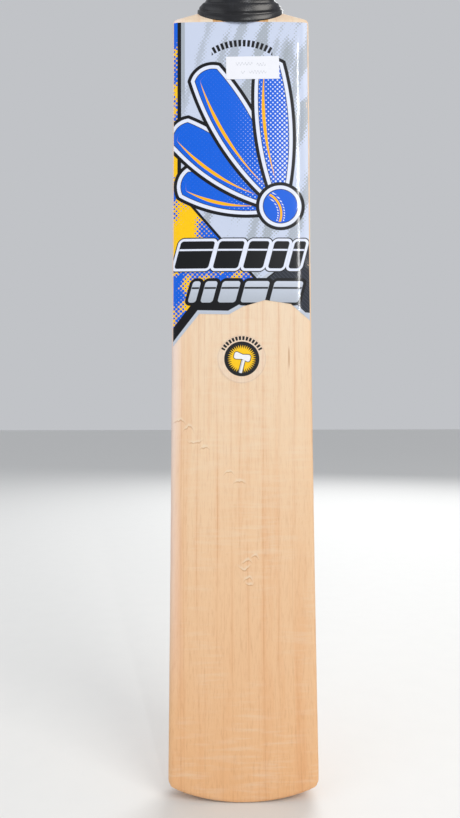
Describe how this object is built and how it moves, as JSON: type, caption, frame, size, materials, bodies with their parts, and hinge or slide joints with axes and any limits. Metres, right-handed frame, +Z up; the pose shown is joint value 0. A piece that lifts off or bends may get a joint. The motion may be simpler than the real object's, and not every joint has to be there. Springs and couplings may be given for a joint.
{
  "type": "cricket bat",
  "caption": "Full-size cricket bat: bowed willow blade with a raised spine, spliced laminated cane handle, twine binding, flared rubber grip and printed face labels.",
  "frame": {"origin": "middle of the bounding box, at the height of the lowest point of the toe", "axes": "+Z up along the handle's axis, toe at the bottom; the playing face towards -Y; +X to the right of someone looking at the face"},
  "size_m": [0.1064, 0.0822, 0.862],
  "materials": {
    "willow": "pale straight-grained willow, lightly oiled",
    "cane": "golden cane with fine dark pores",
    "spring_rubber": "matt",
    "twine": "waxed linen twine, close wound",
    "grip_rubber": "ribbed, satin, with a yellow body above the black skirt",
    "label_film": "printed gloss film",
    "ticket_paper": "matt white paper"
  },
  "bodies": {
    "root": {"blade": "willow", "cane_front_left": "cane", "cane_front_middle": "cane", "cane_front_right": "cane", "cane_second_left": "cane", "cane_second_middle": "cane", "cane_second_right": "cane", "cane_third_left": "cane", "cane_third_middle": "cane", "cane_third_right": "cane", "cane_back_left": "cane", "cane_back_middle": "cane", "cane_back_right": "cane", "spring_front": "spring_rubber", "spring_middle": "spring_rubber", "spring_back": "spring_rubber", "twine_binding": "twine", "grip": "grip_rubber", "face_label": "label_film", "badge_label": "label_film", "ticket_label": "ticket_paper"}
  },
  "joints": []
}
